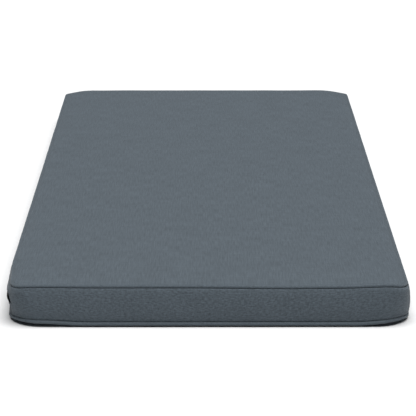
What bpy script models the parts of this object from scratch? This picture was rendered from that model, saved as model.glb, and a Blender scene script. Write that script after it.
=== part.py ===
"""A boxed bench cushion lying flat on its bottom panel.

Metres, +Z up. X is the cushion's width and Y its length; the short side at -Y is the front.
The origin is the middle of the bottom panel, on the surface that the cushion lies on.

The cushion is one filled body: a top panel, a bottom panel and a border strip between them.
A cord covered in the same cloth is sewn into each of the two seams that run round it.
"""

import math

import bmesh
import bpy
from mathutils import Matrix, Vector

MM = 0.001

# The two seams, measured to the centre lines of the covered cords.
SEAM_WIDTH = 500 * MM
SEAM_LENGTH = 1200 * MM
CORNER_RADIUS = 31 * MM
TOP_SEAM_HEIGHT = 51.8 * MM
BOTTOM_SEAM_HEIGHT = 2.4 * MM
CORD_RADIUS = 2.25 * MM

# The filling lifts the top panel off its seam: quickly behind the cord, then slowly to the middle.
PANEL_STAND = 1.0 * MM
CROWN_RISE = 2.6 * MM
CROWN_REACH = 18 * MM
MIDDLE_RISE = 1.2 * MM

# The soft corners of the filling: the top seam sinks there and the bottom seam lifts.
CORNER_REACH = 34 * MM
CORNER_DROOP = 3.2 * MM
CORNER_LIFT = 2.7 * MM

# How far the long sides are drawn in half way along them.
SIDE_DRAW_IN = 0.2 * MM

# The long sides of the border lean out, so the bottom seam is wider than the top one.
BOTTOM_SPREAD = 1.7 * MM

# The front end of the cover has slipped a little to +X on its filling.
FRONT_SLIP = 1.5 * MM
FRONT_SLIP_REACH = 65 * MM

# The front seam isn't sewn quite straight, in mm.
#   along    the place on the front side, from its middle
#   lift     how far the seam rises there
#   spread   how far from that place it has come back
FRONT_SEAM_WAVE = (
    # along  lift  spread
    (-195,   0.5,   60),
    (95,    -1.1,  120),
    (213,    1.2,   44),
)
FRONT_WAVE_REACH = 60 * MM

# Stations of the cage along a straight side, as shares of its length, and steps round a corner.
SHORT_SIDE_STATIONS = (0.0, 0.05, 0.11, 0.2, 0.35, 0.5, 0.65, 0.8, 0.89, 0.95)
LONG_SIDE_STATIONS = (0.0, 0.035, 0.15, 0.5, 0.85, 0.965)
CORNER_STEPS = 6

# The border's cloth is folded into a lap along the left side, which ends a little way into the
# corners. The sideways part of a station's outward direction says how far round it is.
LAP_FADES_FROM = 0.96
LAP_ENDS_AT = 0.87

# The section through the edge, from the top panel round the border to the bottom panel, in mm.
#   out    how far a row stands outside the centre line of the cords
#   seam   1 for a row that follows the top seam, 0 for the bottom seam, or a share of the way
#   up     how far it lies above that height
#   lap    how far it is moved outwards where the border is lapped
#   on     which panel it lies on, if any: its height is then the panel's own
SECTION = (
    # out   seam   up    lap   on
    (-26.0, 1.00,  0.0,  0.0, "top"),
    (-10.0, 1.00,  0.0,  0.0, "top"),
    (-4.0,  1.00,  1.4,  0.0, None),
    (-2.8,  1.00, -1.0,  0.0, None),
    (-0.8,  1.00, -3.9,  0.0, None),
    (3.2,   1.00, -7.5,  0.0, None),
    (4.8,   0.72,  0.0, -0.3, None),
    (5.0,   0.53,  0.0,  0.0, None),
    (5.0,   0.47,  0.0, -3.4, None),
    (4.6,   0.28,  0.0, -2.8, None),
    (3.2,   0.00,  7.0, -1.2, None),
    (-0.8,  0.00,  3.7,  0.0, None),
    (-3.0,  0.00,  0.5,  0.0, None),
    (-5.1,  0.00, -1.8,  0.0, None),
    (-12.0, 0.00,  0.0,  0.0, "bottom"),
)

CLOTH_COLOUR = (0.124, 0.150, 0.172, 1.0)
CLOTH_ROUGHNESS = 0.9


def ease(value):
    """A soft step from 0 to 1."""
    value = min(max(value, 0.0), 1.0)
    return value * value * (3.0 - 2.0 * value)


def settled(point):
    """A point of the seams' plan, with the draw-in of the long sides and the slip of the front."""
    x, y = point
    drawn = SIDE_DRAW_IN * (1.0 - ease(abs(y) / (SEAM_LENGTH / 2)))
    slipped = FRONT_SLIP * ease(1.0 - (y + SEAM_LENGTH / 2) / FRONT_SLIP_REACH)
    return Vector((x - math.copysign(drawn, x) + slipped, y))


def seam_stations():
    """The seams' plan as (point, outward direction), anticlockwise from the front side."""
    half_width = SEAM_WIDTH / 2 - CORNER_RADIUS
    half_length = SEAM_LENGTH / 2 - CORNER_RADIUS
    centres = (
        Vector((half_width, -half_length)),
        Vector((half_width, half_length)),
        Vector((-half_width, half_length)),
        Vector((-half_width, -half_length)),
    )
    stations = []
    for side, centre in enumerate(centres):
        facing = Matrix.Rotation(side * math.pi / 2, 2) @ Vector((0.0, -1.0))
        start = centres[side - 1] + facing * CORNER_RADIUS
        end = centre + facing * CORNER_RADIUS
        for share in LONG_SIDE_STATIONS if side % 2 else SHORT_SIDE_STATIONS:
            stations.append((settled(start.lerp(end, share)), facing))
        for step in range(CORNER_STEPS):
            turned = Matrix.Rotation(step / CORNER_STEPS * math.pi / 2, 2) @ facing
            stations.append((settled(centre + turned * CORNER_RADIUS), turned))
    return stations


STATIONS = seam_stations()


def corner_share(x, y):
    """1 at a corner, falling to 0 at CORNER_REACH from either side."""
    beside = ease(1.0 - (SEAM_WIDTH / 2 - abs(x)) / CORNER_REACH)
    behind = ease(1.0 - (SEAM_LENGTH / 2 - abs(y)) / CORNER_REACH)
    return beside * behind


def front_wave(x, y):
    """How far the front seam rises or sags at x, dying away behind the front side."""
    lift = 0.0
    for along, rise, spread in FRONT_SEAM_WAVE:
        lift += rise * MM * ease(1.0 - abs(x / MM - along) / spread)
    return lift * ease(1.0 - (y + SEAM_LENGTH / 2) / FRONT_WAVE_REACH)


def top_seam_height(x, y):
    return TOP_SEAM_HEIGHT - CORNER_DROOP * corner_share(x, y) + front_wave(x, y)


def bottom_seam_height(x, y):
    return BOTTOM_SEAM_HEIGHT + CORNER_LIFT * corner_share(x, y)


def leaned(point, facing, seam):
    """A point of the seams' plan at a share of the height: 1 for the top seam, 0 for the bottom."""
    return point + Vector(((1.0 - seam) * BOTTOM_SPREAD * facing.x, 0.0))


def panel_height(x, y):
    """The top panel: its seam's height and the lift of the filling."""
    from_side = max(SEAM_WIDTH / 2 - abs(x), 0.0)
    from_end = max(SEAM_LENGTH / 2 - abs(y), 0.0)
    edge = (1.0 - math.exp(-from_side / CROWN_REACH)) * (1.0 - math.exp(-from_end / CROWN_REACH))
    middle = (1.0 - (2 * x / SEAM_WIDTH) ** 2) * (1.0 - (2 * y / SEAM_LENGTH) ** 2)
    return top_seam_height(x, y) + PANEL_STAND + CROWN_RISE * edge + MIDDLE_RISE * middle


def lap_share(facing):
    """1 along the left side, 0 past the ends of the lap."""
    return ease((-facing.x - LAP_ENDS_AT) / (LAP_FADES_FROM - LAP_ENDS_AT))


def cage_point(row, station):
    """Where a row of the section passes a station of the seams."""
    out, seam, up, lap, panel = row
    point, facing = station
    place = leaned(point, facing, seam) + facing * (out + lap * lap_share(facing)) * MM
    if panel == "top":
        return Vector((*place, panel_height(*place)))
    if panel == "bottom":
        return Vector((*place, 0.0))
    top = top_seam_height(*point)
    bottom = bottom_seam_height(*point)
    return Vector((*place, bottom + (top - bottom) * seam + up * MM))


def close_panel(cage, loop):
    """Fills a closed loop with a grid between its two short ends, and returns the grid's points."""
    count = len(loop)
    end_steps = len(SHORT_SIDE_STATIONS) + CORNER_STEPS
    edges = []
    for start in (-CORNER_STEPS // 2, count // 2 - CORNER_STEPS // 2):
        for step in range(start, start + end_steps):
            edges.append(cage.edges.get((loop[step], loop[(step + 1) % count])))
    before = set(cage.verts)
    bmesh.ops.grid_fill(cage, edges=edges)
    return [vertex for vertex in cage.verts if vertex not in before]


def build_body(collection):
    """The filled cover: loops of the section are bridged round the edge, and grids close it."""
    cage = bmesh.new()
    loops = []
    bridged = []
    for row in SECTION:
        loop = [cage.verts.new(cage_point(row, station)) for station in STATIONS]
        edges = [cage.edges.new((loop[number - 1], loop[number])) for number in range(len(loop))]
        if loops:
            bmesh.ops.bridge_loops(cage, edges=bridged + edges)
        loops.append(loop)
        bridged = edges
    for vertex in close_panel(cage, loops[0]):
        vertex.co.z = panel_height(vertex.co.x, vertex.co.y)
    for vertex in close_panel(cage, loops[-1]):
        vertex.co.z = 0.0
    bmesh.ops.recalc_face_normals(cage, faces=cage.faces)

    mesh = bpy.data.meshes.new("cushion_body")
    cage.to_mesh(mesh)
    cage.free()
    mesh.shade_smooth()
    body = bpy.data.objects.new("cushion_body", mesh)
    collection.objects.link(body)
    rounding = body.modifiers.new("rounding", "SUBSURF")
    rounding.levels = 1
    rounding.render_levels = 1
    return body


def rounded(points):
    """A closed line after one step of the body's rounding, so that a cord follows its groove."""
    line = []
    for number, point in enumerate(points):
        before = points[number - 1]
        after = points[(number + 1) % len(points)]
        line.append((before + point * 6 + after) / 8)
        line.append((point + after) / 2)
    return line


def build_cord(collection, name, seam, seam_height):
    """A cord in its cloth cover, sewn into one seam and joined into a ring."""
    line = rounded(
        [Vector((*leaned(point, facing, seam), seam_height(*point))) for point, facing in STATIONS]
    )
    curve = bpy.data.curves.new(name, "CURVE")
    curve.dimensions = "3D"
    curve.bevel_depth = CORD_RADIUS
    curve.bevel_resolution = 2
    spline = curve.splines.new("POLY")
    spline.points.add(len(line) - 1)
    for knot, place in zip(spline.points, line):
        knot.co = (*place, 1.0)
    spline.use_cyclic_u = True
    cord = bpy.data.objects.new(name, curve)
    collection.objects.link(cord)
    return cord


def woven_cloth(name):
    """Slate-grey woven polyester: matt, and not metallic."""
    material = bpy.data.materials.new(name)
    material.use_nodes = True
    shader = material.node_tree.nodes["Principled BSDF"]
    shader.inputs["Base Color"].default_value = CLOTH_COLOUR
    shader.inputs["Roughness"].default_value = CLOTH_ROUGHNESS
    shader.inputs["Metallic"].default_value = 0.0
    material.diffuse_color = CLOTH_COLOUR
    return material


for old in list(bpy.data.objects):
    bpy.data.objects.remove(old, do_unlink=True)

cushion = bpy.data.collections.new("bench_cushion")
bpy.context.scene.collection.children.link(cushion)

build_body(cushion).data.materials.append(woven_cloth("cover_cloth"))
top = build_cord(cushion, "top_piping", 1.0, top_seam_height)
top.data.materials.append(woven_cloth("top_piping_cloth"))
bottom = build_cord(cushion, "bottom_piping", 0.0, bottom_seam_height)
bottom.data.materials.append(woven_cloth("bottom_piping_cloth"))
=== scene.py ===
"""The looks of a boxed bench cushion: slate-grey woven polyester over foam, with covered cord in
its seams.

Metres, +Z up, in the frame's own coordinates. The front is the short side at -Y.
"""

import math

import bmesh
import bpy
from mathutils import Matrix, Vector, noise


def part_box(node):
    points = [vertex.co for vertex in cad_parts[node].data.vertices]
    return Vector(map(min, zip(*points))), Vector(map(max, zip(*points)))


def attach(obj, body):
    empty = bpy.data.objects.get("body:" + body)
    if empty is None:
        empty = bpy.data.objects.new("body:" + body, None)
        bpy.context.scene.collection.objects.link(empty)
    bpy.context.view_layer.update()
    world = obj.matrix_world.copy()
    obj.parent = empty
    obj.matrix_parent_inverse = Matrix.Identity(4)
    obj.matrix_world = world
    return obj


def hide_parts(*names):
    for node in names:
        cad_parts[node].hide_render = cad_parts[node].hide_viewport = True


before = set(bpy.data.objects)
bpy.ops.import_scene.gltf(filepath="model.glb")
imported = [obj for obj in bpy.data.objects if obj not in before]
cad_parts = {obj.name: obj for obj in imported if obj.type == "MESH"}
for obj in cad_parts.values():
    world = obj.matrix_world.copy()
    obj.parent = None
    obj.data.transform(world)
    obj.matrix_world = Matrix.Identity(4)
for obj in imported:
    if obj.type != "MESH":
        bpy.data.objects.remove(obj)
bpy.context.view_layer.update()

MM = 0.001


# --- Camera ------------------------------------------------------------------------------------
# A long lens, low over the floor and far in front of the short side, a little left of the
# cushion's middle and turned a little to the right of its length.
CAMERA_PLACE = (-3.1 * MM, -3082.5 * MM, 810.7 * MM)
CAMERA_DOWN = math.radians(14.84)
CAMERA_RIGHT = math.radians(0.094)
LENS = 180

camera_data = bpy.data.cameras.new("product_camera")
camera_data.lens = LENS
camera_data.clip_end = 100
camera = bpy.data.objects.new("product_camera", camera_data)
camera.location = CAMERA_PLACE
camera.rotation_euler = (math.pi / 2 - CAMERA_DOWN, 0, -CAMERA_RIGHT)
bpy.context.scene.collection.objects.link(camera)
bpy.context.scene.camera = camera


# --- Floor and light ---------------------------------------------------------------------------
# A roll of white paper, lit evenly. The key is a big soft light overhead, a little in front of
# the cushion and to its right, and the room's white walls fill the shadows with cooler light.
FLOOR_SIZE = 30
FLOOR_DROP = 0.1 * MM
FLOOR_COLOUR = "#E4E4E4"
KEY_FROM = Vector((0.09, -0.16, 1.0))
KEY_STRENGTH = 4.3
KEY_WIDTH = math.radians(55)
FILL_COLOUR = "#E6F0FF"
FILL_STRENGTH = 0.06


def linear(hex_colour):
    """An sRGB hex colour as linear red, green, blue and alpha."""
    channels = [int(hex_colour[start:start + 2], 16) / 255 for start in (1, 3, 5)]
    return [c / 12.92 if c <= 0.04045 else ((c + 0.055) / 1.055) ** 2.4 for c in channels] + [1.0]


floor_paper = bpy.data.materials.new("matt_paper")
floor_paper.use_nodes = True
paper = floor_paper.node_tree.nodes["Principled BSDF"]
paper.inputs["Base Color"].default_value = linear(FLOOR_COLOUR)
paper.inputs["Roughness"].default_value = 0.9
paper.inputs["Specular IOR Level"].default_value = 0.1

floor_shape = bmesh.new()
bmesh.ops.create_grid(floor_shape, x_segments=1, y_segments=1, size=FLOOR_SIZE / 2)
bmesh.ops.translate(floor_shape, verts=floor_shape.verts, vec=(0, 0, -FLOOR_DROP))
floor_mesh = bpy.data.meshes.new("floor")
floor_shape.to_mesh(floor_mesh)
floor_shape.free()
floor = bpy.data.objects.new("floor", floor_mesh)
floor.data.materials.append(floor_paper)
bpy.context.scene.collection.objects.link(floor)

key_data = bpy.data.lights.new("key_light", "SUN")
key_data.energy = KEY_STRENGTH
key_data.angle = KEY_WIDTH
key_light = bpy.data.objects.new("key_light", key_data)
key_light.rotation_euler = KEY_FROM.to_track_quat("Z", "Y").to_euler()
bpy.context.scene.collection.objects.link(key_light)

world = bpy.data.worlds.new("white_room")
world.use_nodes = True
world.node_tree.nodes["Background"].inputs["Color"].default_value = linear(FILL_COLOUR)
world.node_tree.nodes["Background"].inputs["Strength"].default_value = FILL_STRENGTH
bpy.context.scene.world = world
bpy.context.scene.view_settings.view_transform = "Standard"


# --- The filled cover --------------------------------------------------------------------------
# A top panel, a bottom panel and a border strip of woven polyester, sewn together round a foam
# pad; each seam tucks in under its cord. Along the left side the border is two strips: the upper
# one laps over the opening's tape, and its ends are sewn down round the corners.

# The seams' plan is a rectangle with round corners. The front corners are tighter at the top seam
# and wider at the bottom seam, and this fades out over the panels.
CORD_RADIUS = 2.25 * MM
CORNER_RADIUS = 31 * MM
FRONT_TOP_RADIUS = 18 * MM
FRONT_BOTTOM_RADIUS = 38 * MM
RADIUS_FADES_OVER = 13  # in mm, as the rows' places are
CORNER_STEPS = 18
STATION_GAP = 7 * MM

seam_low, seam_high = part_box("top_piping")
HALF_WIDTH = -seam_low.x - CORD_RADIUS
HALF_LENGTH = seam_high.y - CORD_RADIUS

# The seams' heights, and the low crown that the foam gives the top panel.
TOP_SEAM_HEIGHT = 51.8 * MM
BOTTOM_SEAM_HEIGHT = 4.0 * MM
PANEL_STAND = 1.2 * MM
CROWN_RISE = 2.2 * MM
CROWN_REACH = 7 * MM
MIDDLE_RISE = 0.5 * MM

# The top seam droops at the corners, rises a little towards the back and ripples behind the front;
# the bottom seam lifts at the corners; and both wave along the front.
FRONT_DROOP = 1.2 * MM
BACK_DROOP = 3.2 * MM
BACK_RISE = 0.6 * MM
SEAM_RIPPLE = 0.4 * MM
RIPPLE_LENGTH = 55 * MM
RIPPLE_FULL_AT = 0.125  # share of the cushion's length
CORNER_LIFT = 1.2 * MM
FRONT_REACH = 34 * MM
BACK_REACH = 46 * MM
FRONT_TOP_WAVE = (
    # along  lift  spread, in mm
    (-195,   0.5,   60),
    (95,    -1.1,  120),
    (213,    1.2,   44),
)
FRONT_BOTTOM_WAVE = (
    (-221,   2.5,   60),
    (234,    2.2,   42),
)
FRONT_WAVE_REACH = 60 * MM

# In plan the long sides are drawn in at their middle and spread at the foot, and the opening's
# seam pulls the left front corner in.
SIDE_DRAW_IN = 0.2 * MM
LEFT_SPREAD = 0.9 * MM
RIGHT_SPREAD = 1.7 * MM
LEFT_CORNER_PULL = 5.1 * MM
LEFT_PULL_REACH = 109 * MM

# How far the border has turned from the front, or the back, to the left side, in degrees, where
# the upper strip's end is sewn down, where the opening starts, and where its lap gapes most.
LAP_SEWN_AT = 59.0
LAP_OPEN_AT = 64.0
LAP_GAPES_AT = 74.0
SIDE_GAPE = 0.2
SIDE_GAPE_REACH = 90 * MM

# The slanting seam that holds the strip's end: how far round the corner it lies at its top and its
# foot and how wide it is, in degrees, how far it stands out, in mm, and the heights that it
# crosses, as shares of the way from the bottom seam to the top one.
END_SEAM_TOP = 78.0
END_SEAM_FOOT = 62.0
END_SEAM_WIDTH = 4.0
END_SEAM_RIDGE = 0.9
END_SEAM_SLANTS_FROM = 0.5
END_SEAM_CROSSES = (0.48, 0.8)

# Rows across the cover, from the top panel over the border to the bottom panel, in mm.
#   out    outside the cords' centre line
#   seam   1 at the top seam's height, 0 at the bottom seam's
#   up     above that height; on the bottom panel, its share of the corners' lift
#   gap    moved outwards where the strips part at the opening
#   gape   moved outwards where the lap gapes
#   lift   moved upwards there
#   part   the piece of cloth it lies on; the top panel's rows have the panel's own height
ROWS = (
    # out   seam   up    gap   gape  lift  part
    (-25.0, 1.00,  0.0,  0.0,  0.0,  0.0, "top"),
    (-20.0, 1.00,  0.0,  0.0,  0.0,  0.0, "top"),
    (-15.5, 1.00,  0.0,  0.0,  0.0,  0.0, "top"),
    (-11.5, 1.00,  0.0,  0.0,  0.0,  0.0, "top"),
    (-8.2,  1.00,  0.0,  0.0,  0.0,  0.0, "top"),
    (-5.6,  1.00,  0.0,  0.0,  0.0,  0.0, "top"),
    (-3.8,  1.00,  0.0,  0.0,  0.0,  0.0, "top"),
    (-2.6,  1.00,  2.25, 0.0,  0.0,  0.0, "tuck"),
    (-1.9,  1.00,  1.85, 0.0,  0.0,  0.0, "tuck"),
    (-1.5,  1.00,  1.2,  0.0,  0.0,  0.0, "tuck"),
    (-1.3,  1.00, -1.2,  0.0,  0.0,  0.0, "tuck"),
    (-0.2,  1.00, -2.6,  0.0,  0.0,  0.0, "border"),
    (1.2,   1.00, -2.7,  0.0,  0.0,  0.0, "border"),
    (1.9,   1.00, -2.2,  0.0, -0.1,  0.0, "border"),
    (2.4,   1.00, -1.9,  0.0, -0.3,  0.0, "border"),
    (2.9,   1.00, -2.3,  0.0, -1.0,  0.0, "border"),
    (3.4,   1.00, -3.1,  0.0, -1.3,  0.0, "border"),
    (3.9,   1.00, -4.4,  0.0, -1.5,  0.4, "border"),
    (4.35,  1.00, -6.3,  0.0, -1.6,  1.2, "border"),
    (4.7,   1.00, -9.0,  0.0, -1.2,  2.6, "border"),
    (4.95,  0.74,  0.0,  0.0, -0.3,  4.6, "border"),
    (5.1,   0.66,  0.0,  0.0,  0.4,  7.2, "border"),
    (5.25,  0.59,  0.0,  0.0,  0.9,  9.5, "border"),
    (5.35,  0.54,  0.0,  0.0,  1.2, 11.0, "border"),
    (5.35,  0.50,  0.0,  0.0,  1.2, 12.2, "border"),
    (5.35,  0.48,  0.0,  0.0,  1.2, 12.8, "border"),
    (5.35,  0.474, 0.0, -1.4,  1.0, 13.0, "border"),
    (5.35,  0.468, 0.0, -4.2,  0.4, 12.6, "border"),
    (5.35,  0.463, 0.0, -4.6,  0.0,  6.0, "border"),
    (5.35,  0.458, 0.0, -4.4, -0.4, -1.5, "border"),
    (5.35,  0.455, 0.0, -2.2, -0.6, -1.6, "border"),
    (5.35,  0.45,  0.0, -0.3, -0.7, -1.8, "border"),
    (5.35,  0.43,  0.0,  0.0, -0.8, -1.9, "border"),
    (5.35,  0.38,  0.0,  0.0, -1.2, -1.0, "border"),
    (5.25,  0.31,  0.0,  0.0, -2.7,  0.0, "border"),
    (5.05,  0.24,  0.0,  0.0, -4.2,  0.0, "border"),
    (4.75,  0.00,  8.0,  0.0, -4.1,  0.0, "border"),
    (4.45,  0.00,  5.8,  0.0, -3.3,  0.0, "border"),
    (4.15,  0.00,  4.2,  0.0, -2.2,  0.0, "border"),
    (3.75,  0.00,  3.1,  0.0, -0.9,  0.0, "border"),
    (3.2,   0.00,  2.5,  0.0, -0.2,  0.0, "border"),
    (2.5,   0.00,  2.25, 0.0,  0.0,  0.0, "border"),
    (1.6,   0.00,  2.15, 0.0,  0.0,  0.0, "border"),
    (0.6,   0.00,  2.1,  0.0,  0.0,  0.0, "border"),
    (-0.6,  0.00,  1.9,  0.0,  0.0,  0.0, "border"),
    (-1.8,  0.00,  1.7,  0.0,  0.0,  0.0, "border"),
    (-2.6,  0.00,  0.4,  0.0,  0.0,  0.0, "tuck"),
    (-3.2,  0.00, -1.4,  0.0,  0.0,  0.0, "tuck"),
    (-4.6,  0.00, -2.7,  0.0,  0.0,  0.0, "tuck"),
    (-9.0,  0.00,  0.45, 0.0,  0.0,  0.0, "bottom"),
    (-15.0, 0.00,  0.12, 0.0,  0.0,  0.0, "bottom"),
    (-25.0, 0.00,  0.0,  0.0,  0.0,  0.0, "bottom"),
)


def ease(value):
    """A soft step from 0 to 1."""
    value = min(max(value, 0.0), 1.0)
    return value * value * (3.0 - 2.0 * value)


def core(point):
    """The nearest point of the rectangle that the corners' centres make."""
    across = HALF_WIDTH - CORNER_RADIUS
    lengthwise = HALF_LENGTH - CORNER_RADIUS
    return Vector((max(min(point.x, across), -across),
                   max(min(point.y, lengthwise), -lengthwise), 0.0))


def outward(point):
    """The direction out of the cushion at a point of the seams' plan."""
    return (point - core(point)).normalized()


def settled(point, seam, out):
    """Where a point of the seams' plan lies, moved out by some mm, between the bottom seam at 0
    and the top seam at 1."""
    radius = CORNER_RADIUS
    if point.y < 0:
        sewn_radius = FRONT_BOTTOM_RADIUS + (FRONT_TOP_RADIUS - FRONT_BOTTOM_RADIUS) * seam
        radius += (sewn_radius - CORNER_RADIUS) * ease(1.0 + out / RADIUS_FADES_OVER)
    middle = core(point)
    middle.x *= (HALF_WIDTH - radius) / (HALF_WIDTH - CORNER_RADIUS)
    middle.y *= (HALF_LENGTH - radius) / (HALF_LENGTH - CORNER_RADIUS)
    place = middle + outward(point) * (radius + out * MM)
    drawn = SIDE_DRAW_IN * (1.0 - ease(abs(point.y) / HALF_LENGTH))
    leaned = (1.0 - seam) * (RIGHT_SPREAD if point.x > 0 else LEFT_SPREAD) * outward(point).x
    pulled = LEFT_CORNER_PULL * ease(1.0 - (place.y + HALF_LENGTH) / LEFT_PULL_REACH)
    place.x += leaned - math.copysign(drawn, point.x) + pulled * ease(-point.x / HALF_WIDTH)
    return place


def corner_share(x, y):
    """1 at a corner, falling to 0 away from it."""
    reach = FRONT_REACH if y < 0 else BACK_REACH
    beside = ease(1.0 - (HALF_WIDTH - abs(x)) / reach)
    behind = ease(1.0 - (HALF_LENGTH - abs(y)) / reach)
    return beside * behind


def front_wave(x, y, waves):
    """How far the waves in a seam along the front lift it."""
    lift = sum(height * MM * ease(1.0 - abs(x / MM - middle) / spread)
               for middle, height, spread in waves)
    return lift * ease(1.0 - (y + HALF_LENGTH) / FRONT_WAVE_REACH)


def top_seam_height(x, y):
    """The height of the top cord's centre line."""
    droop = (FRONT_DROOP if y < 0 else BACK_DROOP) * corner_share(x, y)
    from_front = (y + HALF_LENGTH) / (2 * HALF_LENGTH)
    ripple = SEAM_RIPPLE * noise.noise(Vector((x, y, 0.0)) / RIPPLE_LENGTH)
    ripple *= ease(from_front / RIPPLE_FULL_AT)
    rise = BACK_RISE * ease(from_front)
    return TOP_SEAM_HEIGHT - droop + ripple + rise + front_wave(x, y, FRONT_TOP_WAVE)


def bottom_seam_height(x, y):
    """The height of the bottom cord's centre line."""
    lift = CORNER_LIFT * corner_share(x, y)
    return BOTTOM_SEAM_HEIGHT + lift + front_wave(x, y, FRONT_BOTTOM_WAVE)


def panel_height(x, y):
    """The height of the top panel, lifted off its seam by the foam."""
    from_side = max(HALF_WIDTH - abs(x), 0.0)
    from_end = max(HALF_LENGTH - abs(y), 0.0)
    edge = (1.0 - math.exp(-from_side / CROWN_REACH)) * (1.0 - math.exp(-from_end / CROWN_REACH))
    middle = (1.0 - (x / HALF_WIDTH) ** 2) * (1.0 - (y / HALF_LENGTH) ** 2)
    return top_seam_height(x, y) + PANEL_STAND + CROWN_RISE * edge + MIDDLE_RISE * middle


def side_turn(facing):
    """How far the border has turned from the front or the back to the left side, in degrees."""
    return math.degrees(math.atan2(-facing.x, abs(facing.y)))


def opened(point):
    """1 where the two strips have parted at the opening, 0 past its sewn ends."""
    return ease((side_turn(outward(point)) - LAP_SEWN_AT) / (LAP_OPEN_AT - LAP_SEWN_AT))


def gaping(point):
    """1 where the lap gapes most, at the front corner, less behind it, 0 past its sewn ends."""
    from_corner = HALF_LENGTH - CORNER_RADIUS - abs(point.y)
    closed = (1.0 - SIDE_GAPE) * (ease(from_corner / SIDE_GAPE_REACH) if point.y < 0 else 1.0)
    past_its_end = (side_turn(outward(point)) - LAP_SEWN_AT) / (LAP_GAPES_AT - LAP_SEWN_AT)
    return (1.0 - closed) * ease(past_its_end)


def end_seam(point, seam):
    """How far the slanting seam at the lap's end stands out of the border, in mm."""
    slant = ease((seam - END_SEAM_SLANTS_FROM) / (1.0 - END_SEAM_SLANTS_FROM))
    middle = END_SEAM_FOOT + (END_SEAM_TOP - END_SEAM_FOOT) * slant
    return END_SEAM_RIDGE * ease(1.0 - abs(side_turn(outward(point)) - middle) / END_SEAM_WIDTH)


def seam_loop(shape):
    """A closed loop of edges on the seams' plan, evenly spaced. Gives where each point keeps its
    place on the plan and its way along the loop, and the loop's length."""
    bmesh.ops.create_grid(shape, x_segments=1, y_segments=1, size=1.0)
    bmesh.ops.scale(shape, verts=shape.verts, vec=(HALF_WIDTH, HALF_LENGTH, 1.0))
    bmesh.ops.bevel(shape, geom=shape.verts[:], affect="VERTICES", offset=CORNER_RADIUS,
                    segments=CORNER_STEPS, profile=0.5, material=-1)
    bmesh.ops.delete(shape, geom=shape.faces[:], context="FACES_ONLY")
    for side in [edge for edge in shape.edges if edge.calc_length() > CORNER_RADIUS]:
        cuts = round(side.calc_length() / STATION_GAP) - 1
        bmesh.ops.subdivide_edges(shape, edges=[side], cuts=cuts)
    plan = shape.verts.layers.float_vector.new("plan")
    along = shape.verts.layers.float.new("along")
    vertex = min(shape.verts, key=lambda v: (v.co - Vector((0.0, HALF_LENGTH, 0.0))).length)
    edge = vertex.link_edges[0]
    length = 0.0
    for _ in range(len(shape.verts)):
        vertex[plan] = vertex.co
        vertex[along] = length
        length += edge.calc_length()
        vertex = edge.other_vert(vertex)
        edge = next(other for other in vertex.link_edges if other != edge)
    return plan, along, length


def next_row(shape, edges, number_of, number, place):
    """Draws a row of cloth out of the one before it: puts its points in their places, numbers
    them, and gives its edges."""
    made = bmesh.ops.extrude_edge_only(shape, edges=edges)["geom"]
    points = {piece for piece in made if isinstance(piece, bmesh.types.BMVert)}
    for vertex in points:
        vertex.co = place(vertex)
        vertex[number_of] = number
    return [piece for piece in made if isinstance(piece, bmesh.types.BMEdge)
            and points.issuperset(piece.verts)]


def ways_round(face, along, length):
    """How far along the loop each point of a face lies, unbroken where the loop closes."""
    ways = {vertex: vertex[along] for vertex in face.verts}
    if max(ways.values()) - min(ways.values()) > length / 2:
        for vertex, way in ways.items():
            ways[vertex] = way + (length if way < length / 2 else 0.0)
    return ways


SORTING_WAY = Vector((1.0, 31.0, 977.0))  # a slant, so that points don't share a place along it
ORDER_STEP = 1e6  # more than any piece has points or edges


def in_turn(parts):
    """A number that puts an edge or a face in order by the first two of its parts."""
    first, second = sorted(part.index for part in parts)[:2]
    return first * ORDER_STEP + second


def smooth_piece(name, shape):
    """A piece made from its finished shape, shaded smooth. The operators leave edges and faces in
    an order that changes from run to run, and the cloth would settle a little differently in each,
    so everything is put in one order first."""
    shape.verts.sort(key=lambda vertex: vertex.co.dot(SORTING_WAY))
    shape.verts.index_update()
    shape.edges.sort(key=lambda edge: in_turn(edge.verts))
    shape.edges.index_update()
    shape.faces.sort(key=lambda face: in_turn(face.edges))
    mesh = bpy.data.meshes.new(name)
    shape.to_mesh(mesh)
    shape.free()
    mesh.shade_smooth()
    piece = bpy.data.objects.new(name, mesh)
    bpy.context.scene.collection.objects.link(piece)
    return piece


def place_on_row(point, row):
    """Where a row passes a point of the seams' plan."""
    out, seam, up, gap, gape, lift, part = row
    out += gap * opened(point) + gape * gaping(point)
    if END_SEAM_CROSSES[0] < seam < END_SEAM_CROSSES[1]:
        out += end_seam(point, seam)
    place = settled(point, seam, out)
    top = top_seam_height(point.x, point.y)
    bottom = bottom_seam_height(point.x, point.y)
    if part == "top":
        place.z = panel_height(place.x, place.y)
    elif part == "bottom":
        place.z = (bottom - BOTTOM_SEAM_HEIGHT) * up
    else:
        place.z = bottom + (top - bottom) * seam + (up + lift * gaping(point)) * MM
    return place


def on_a_short_end(edge, plan):
    """Whether an edge of a ring lies on one of its two short ends, with half of each corner."""
    facing = outward((edge.verts[0][plan] + edge.verts[1][plan]) / 2)
    return abs(facing.y) > abs(facing.x)


cover_shape = bmesh.new()
plan, along, seam_length = seam_loop(cover_shape)
row_of = cover_shape.verts.layers.int.new("row")
first_ring = cover_shape.edges[:]
ring = first_ring
for vertex in cover_shape.verts:
    vertex.co = place_on_row(vertex[plan], ROWS[0])
for number, row in enumerate(ROWS[1:], 1):
    ring = next_row(cover_shape, ring, row_of, number, lambda v: place_on_row(v[plan], row))

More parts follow.
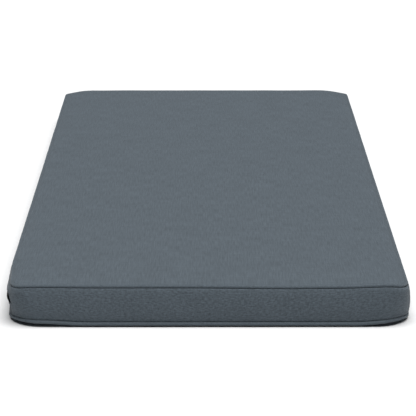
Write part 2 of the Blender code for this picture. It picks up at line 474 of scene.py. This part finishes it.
for panel_ring, number in ((first_ring, 0), (ring, len(ROWS) - 1)):
    before = set(cover_shape.verts)
    ends = [edge for edge in panel_ring if on_a_short_end(edge, plan)]
    bmesh.ops.grid_fill(cover_shape, edges=ends)
    for vertex in cover_shape.verts:
        if vertex not in before:
            vertex[row_of] = number
            vertex.co.z = 0.0 if number else panel_height(vertex.co.x, vertex.co.y)
bmesh.ops.recalc_face_normals(cover_shape, faces=cover_shape.faces)

# The cloth's own measure in metres, for the weave: lengthwise yarns run along the cushion on the
# panels, and round it on the border.
cloth = cover_shape.loops.layers.uv.new("cloth")
drops = [0.0]
for (out, share, up, *_), (next_out, next_share, next_up, *_) in zip(ROWS, ROWS[1:]):
    fall = (share - next_share) * (TOP_SEAM_HEIGHT - BOTTOM_SEAM_HEIGHT) + (up - next_up) * MM
    drops.append(drops[-1] + math.hypot((next_out - out) * MM, fall))
for face in cover_shape.faces:
    on_border = all(ROWS[vertex[row_of]][-1] == "border" for vertex in face.verts)
    face.material_index = int(on_border)
    ways = ways_round(face, along, seam_length)
    for loop in face.loops:
        vertex = loop.vert
        if on_border:
            loop[cloth].uv = (ways[vertex], drops[vertex[row_of]])
        else:
            loop[cloth].uv = (vertex.co.y, vertex.co.x)

# The foam pushes from inside on cloth that is cut a little too large: between its seams it
# settles into faint swells and puckers, and no point moves further than the cap. The cloth is
# held close to its seams, in the tucks, on the floor, and round the opening.
FOAM_PUSH = 4.0
CLOTH_EASE = 0.004
SETTLING_STEPS = 20
MOVE_CAP = 1.2 * MM
SEWN_WITHIN = 2.9  # in mm, above and below a seam


def holding(point, row):
    """How firmly the cloth is held while it settles, from 0 to 1."""
    out, seam, up, gap, gape, lift, part = row
    at_a_seam = part == "border" and seam in (0.0, 1.0) and abs(up) < SEWN_WITHIN
    if at_a_seam or part in ("tuck", "bottom"):
        return 1.0
    return max(opened(point) if gap else 0.0, gaping(point) if gape else 0.0)


hold = cover_shape.verts.layers.deform.verify()
for vertex in cover_shape.verts:
    vertex[hold][0] = holding(vertex[plan], ROWS[vertex[row_of]])
cover = smooth_piece("filled_cover", cover_shape)
held = cover.vertex_groups.new(name="sewn")
settling = cover.modifiers.new("settling", "CLOTH")
settling.settings.use_pressure = True
settling.settings.uniform_pressure_force = FOAM_PUSH
settling.settings.effector_weights.gravity = 0.0
settling.settings.vertex_group_mass = held.name
settling.settings.shrink_min = -CLOTH_EASE
settling.settings.shrink_max = -CLOTH_EASE
settling.collision_settings.use_collision = False
for step in range(1, SETTLING_STEPS + 1):
    bpy.context.scene.frame_set(step)
relaxed = cover.evaluated_get(bpy.context.evaluated_depsgraph_get()).data
moves = [after.co - before.co for before, after in zip(cover.data.vertices, relaxed.vertices)]
cover.modifiers.remove(settling)
for vertex, move in zip(cover.data.vertices, moves):
    vertex.co += move * (MOVE_CAP / (MOVE_CAP + move.length))


# Woven polyester, a plain weave of spun-dyed grey yarns: matt, a faint sheen at the edges, and
# thicker, lighter yarns that show as short streaks, longer on the panels than on the border.
# The real yarns lie about 0.5 mm apart; the weave is drawn coarser so that it shows at all.
CLOTH_COLOUR = "#4E575E"
YARN_PITCH = 1.5  # mm
YARN_HEIGHT = 0.25 * MM
WAVE_PERIOD = math.pi / 10  # the width of one band of the wave texture at scale 1
CROSS_SLUBS = 0.35  # how much of the slubs' tone comes from those that lie across
NOISE_RANGE = (0.3, 0.7)
DRIFT_SIZE = 45  # mm
DRIFT_TONE = 0.03
WEAVE_TONE = 0.10

# A mix node's colour sockets share their names with its number sockets, so they go by number.
MIX_FACTOR, MIX_COLOUR_A, MIX_COLOUR_B, MIXED_COLOUR = 0, 6, 7, 2


def add_node(tree, kind, settings=None, links=None):
    """Adds a node with its settings and values, and links its named inputs."""
    node = tree.nodes.new(kind)
    for name, value in (settings or {}).items():
        if name in node.inputs:
            node.inputs[name].default_value = value
        else:
            setattr(node, name, value)
    for name, source in (links or {}).items():
        tree.links.new(source, node.inputs[name])
    return node


def woven_polyester(name, colour, slub_length, slub_width, slub_tone, turn=0.0, shine=1.0):
    """Woven cloth with its slubs' size in mm, how much lighter and darker they are, and how far its
    yarns are turned from the piece's own measure."""
    material = bpy.data.materials.new(name)
    material.use_nodes = True
    tree = material.node_tree
    shader = tree.nodes["Principled BSDF"]
    measure = add_node(tree, "ShaderNodeUVMap", {"uv_map": "cloth"}).outputs["UV"]
    yarns = add_node(tree, "ShaderNodeMapping",
                     {"Rotation": (0, 0, turn), "Scale": (1 / MM, 1 / MM, 1 / MM)},
                     {"Vector": measure}).outputs["Vector"]

    # Yarns over and under each other: the checks choose which set lies on top.
    sets = [add_node(tree, "ShaderNodeTexWave",
                     {"bands_direction": direction, "Scale": WAVE_PERIOD / YARN_PITCH,
                      "Distortion": 0.6, "Detail": 1.0, "Detail Scale": 0.4},
                     {"Vector": yarns}).outputs["Fac"]
            for direction in ("X", "Y")]
    checks = add_node(tree, "ShaderNodeTexChecker", {"Scale": 1 / YARN_PITCH},
                      {"Vector": yarns}).outputs["Fac"]
    weave = add_node(tree, "ShaderNodeMix", {"data_type": "FLOAT"},
                     {"Factor": checks, "A": sets[0], "B": sets[1]}).outputs["Result"]

    # Slubs along both sets, and a slow drift of shade over the cloth.
    streaks = []
    for stretch in ((slub_length, slub_width), (slub_width, slub_length)):
        slub_map = add_node(tree, "ShaderNodeMapping",
                            {"Scale": (1 / stretch[0], 1 / stretch[1], 1)},
                            {"Vector": yarns}).outputs["Vector"]
        streaks.append(add_node(tree, "ShaderNodeTexNoise", {"Scale": 1.0, "Detail": 1.0},
                                {"Vector": slub_map}).outputs["Fac"])
    slubs = add_node(tree, "ShaderNodeMix", {"data_type": "FLOAT", "Factor": CROSS_SLUBS},
                     {"A": streaks[0], "B": streaks[1]}).outputs["Result"]
    drift = add_node(tree, "ShaderNodeTexNoise", {"Scale": 1 / DRIFT_SIZE, "Detail": 1.0},
                     {"Vector": yarns}).outputs["Fac"]

    # Each of the three shades the cloth's colour up and down by its own tone.
    shades = [add_node(tree, "ShaderNodeMapRange",
                       {"From Min": low, "From Max": high, "To Min": 1 - tone, "To Max": 1 + tone},
                       {"Value": pattern}).outputs["Result"]
              for pattern, (low, high), tone in ((slubs, NOISE_RANGE, slub_tone),
                                                 (drift, NOISE_RANGE, DRIFT_TONE),
                                                 (weave, (0.0, 1.0), WEAVE_TONE))]
    shade = shades[0]
    for next_shade in shades[1:]:
        product = add_node(tree, "ShaderNodeMath", {"operation": "MULTIPLY"})
        tree.links.new(next_shade, product.inputs[0])
        tree.links.new(shade, product.inputs[1])
        shade = product.outputs["Value"]
    shaded = add_node(tree, "ShaderNodeMix", {"data_type": "RGBA", "blend_type": "MULTIPLY"})
    shaded.inputs[MIX_FACTOR].default_value = 1.0
    shaded.inputs[MIX_COLOUR_A].default_value = linear(colour)
    tree.links.new(shade, shaded.inputs[MIX_COLOUR_B])
    tree.links.new(shaded.outputs[MIXED_COLOUR], shader.inputs["Base Color"])

    bump = add_node(tree, "ShaderNodeBump", {"Strength": 0.6, "Distance": YARN_HEIGHT},
                    {"Height": weave})
    tree.links.new(bump.outputs["Normal"], shader.inputs["Normal"])
    shader.inputs["Roughness"].default_value = 0.88
    shader.inputs["Specular IOR Level"].default_value = 0.25 * shine
    shader.inputs["Sheen Weight"].default_value = 0.12 * shine
    shader.inputs["Sheen Roughness"].default_value = 0.5
    return material


cover.data.materials.append(woven_polyester(
    "woven_polyester", CLOTH_COLOUR, slub_length=24, slub_width=1.6, slub_tone=0.21))
cover.data.materials.append(woven_polyester(
    "woven_polyester_border", CLOTH_COLOUR, slub_length=4, slub_width=1.7, slub_tone=0.33))
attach(cover, "root")
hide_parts("cushion_body")


# --- Tape of the opening -----------------------------------------------------------------------
# The opening along the left side closes on a black woven tape, sewn under both strips of the
# border. It shows as a dark line between them, and most at the front corner, where the lap gapes.
# Its near-black colour is partly painted shade: darker than the tape's own black, it stands in for
# the deep shadow in the gap under the lap.
TAPE_TURN = 60.0
TAPE_SECTION = (
    # out  seam   lift, in mm: its face from top to bottom, then its back
    (4.8,  0.485, 13.5),
    (5.9,  0.482, 11.0),
    (6.4,  0.479,  8.5),
    (6.7,  0.476,  6.2),
    (6.8,  0.472,  4.0),
    (6.4,  0.468,  2.0),
    (5.7,  0.464,  0.3),
    (4.8,  0.460, -1.2),
    (1.2,  0.460,  0.2),
    (1.6,  0.466,  6.0),
    (2.6,  0.478, 11.5),
)
TAPE_SINK = 2.5
TAPE_END_SINK = 4.5
TAPE_LINE_GAP = 1.3 * MM


def place_on_tape(point, spot):
    """Where a line of the tape passes a point of the seams' plan. The tape lies deeper where the
    lap gapes less, and deeper still at its sewn ends."""
    out, seam, lift = spot
    out -= TAPE_SINK * (1.0 - gaping(point)) ** 2
    out -= TAPE_END_SINK * (1.0 - opened(point))
    place = settled(point, seam, out)
    top = top_seam_height(point.x, point.y)
    bottom = bottom_seam_height(point.x, point.y)
    place.z = bottom + (top - bottom) * seam + lift * gaping(point) * MM
    return place


tape_shape = bmesh.new()
plan, along, seam_length = seam_loop(tape_shape)
line_of = tape_shape.verts.layers.int.new("line")
far_side = [vertex for vertex in tape_shape.verts if side_turn(outward(vertex.co)) < TAPE_TURN]
bmesh.ops.delete(tape_shape, geom=far_side, context="VERTS")
first_line = tape_shape.edges[:]
line = first_line
for vertex in tape_shape.verts:
    vertex.co = place_on_tape(vertex[plan], TAPE_SECTION[0])
for number, spot in enumerate(TAPE_SECTION[1:], 1):
    line = next_row(tape_shape, line, line_of, number, lambda v: place_on_tape(v[plan], spot))
bmesh.ops.bridge_loops(tape_shape, edges=first_line + line)
bmesh.ops.holes_fill(tape_shape, edges=[edge for edge in tape_shape.edges if edge.is_boundary],
                     sides=len(TAPE_SECTION))
bmesh.ops.recalc_face_normals(tape_shape, faces=tape_shape.faces)
tape_cloth = tape_shape.loops.layers.uv.new("cloth")
for face in tape_shape.faces:
    for loop in face.loops:
        loop[tape_cloth].uv = (loop.vert[along], loop.vert[line_of] * TAPE_LINE_GAP)
tape = smooth_piece("opening_tape", tape_shape)

# Black polyester tape, a close, flat weave that stays dark in the shade of the lap. Its colour is
# pushed to near black, darker than the tape's own, as painted shade for the deep gap under the lap.
TAPE_BLACK_AND_PAINTED_SHADE = "#060708"

tape.data.materials.append(woven_polyester(
    "woven_polyester_tape_and_painted_shade", TAPE_BLACK_AND_PAINTED_SHADE, slub_length=6, slub_width=1.5, slub_tone=0.2, shine=0.1))
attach(tape, "root")


# --- Covered cords -----------------------------------------------------------------------------
# Cotton cord in a bias strip of the cover's cloth, sewn into the top seam and the bottom seam.
CORD_SIDES = 16


def covered_cord(name, seam_share, seam_height, side_stand, end_stand):
    """A ring of covered cord on the seams' plan, standing out of it at the long sides and at the
    short ends, in mm."""
    shape = bmesh.new()
    plan, along, length = seam_loop(shape)
    side_of = shape.verts.layers.int.new("side")
    first_ring = shape.edges[:]
    ring = first_ring

    def place(vertex, side):
        point = vertex[plan]
        facing = outward(point)
        stand_out = side_stand * facing.x ** 2 + end_stand * facing.y ** 2
        middle = settled(point, seam_share, stand_out)
        middle.z = seam_height(point.x, point.y)
        angle = side / CORD_SIDES * 2 * math.pi
        return middle + (facing * math.cos(angle) + Vector((0, 0, math.sin(angle)))) * CORD_RADIUS

    for vertex in shape.verts:
        vertex.co = place(vertex, 0)
    for side in range(1, CORD_SIDES):
        ring = next_row(shape, ring, side_of, side, lambda v: place(v, side))
    bmesh.ops.bridge_loops(shape, edges=first_ring + ring)
    bmesh.ops.recalc_face_normals(shape, faces=shape.faces)
    cloth = shape.loops.layers.uv.new("cloth")
    girth = 2 * math.pi * CORD_RADIUS
    for face in shape.faces:
        ways = ways_round(face, along, length)
        closes = {vertex[side_of] for vertex in face.verts} == {0, CORD_SIDES - 1}
        for loop in face.loops:
            side = loop.vert[side_of] + (CORD_SIDES if closes and loop.vert[side_of] == 0 else 0)
            loop[cloth].uv = (ways[loop.vert], side / CORD_SIDES * girth)
    return smooth_piece(name, shape)


bias_cloth = woven_polyester("woven_polyester_on_the_bias", CLOTH_COLOUR, slub_length=4,
                             slub_width=1.7, slub_tone=0.24, turn=math.pi / 4)
for name, node, seam_share, seam_height, side_stand, end_stand in (
    ("top_cord_cover", "top_piping", 1.0, top_seam_height, 0.0, 0.0),
    ("bottom_cord_cover", "bottom_piping", 0.0, bottom_seam_height, 2.2, 3.9),
):
    cord = covered_cord(name, seam_share, seam_height, side_stand, end_stand)
    cord.data.materials.append(bias_cloth)
    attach(cord, "root")
    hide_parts(node)
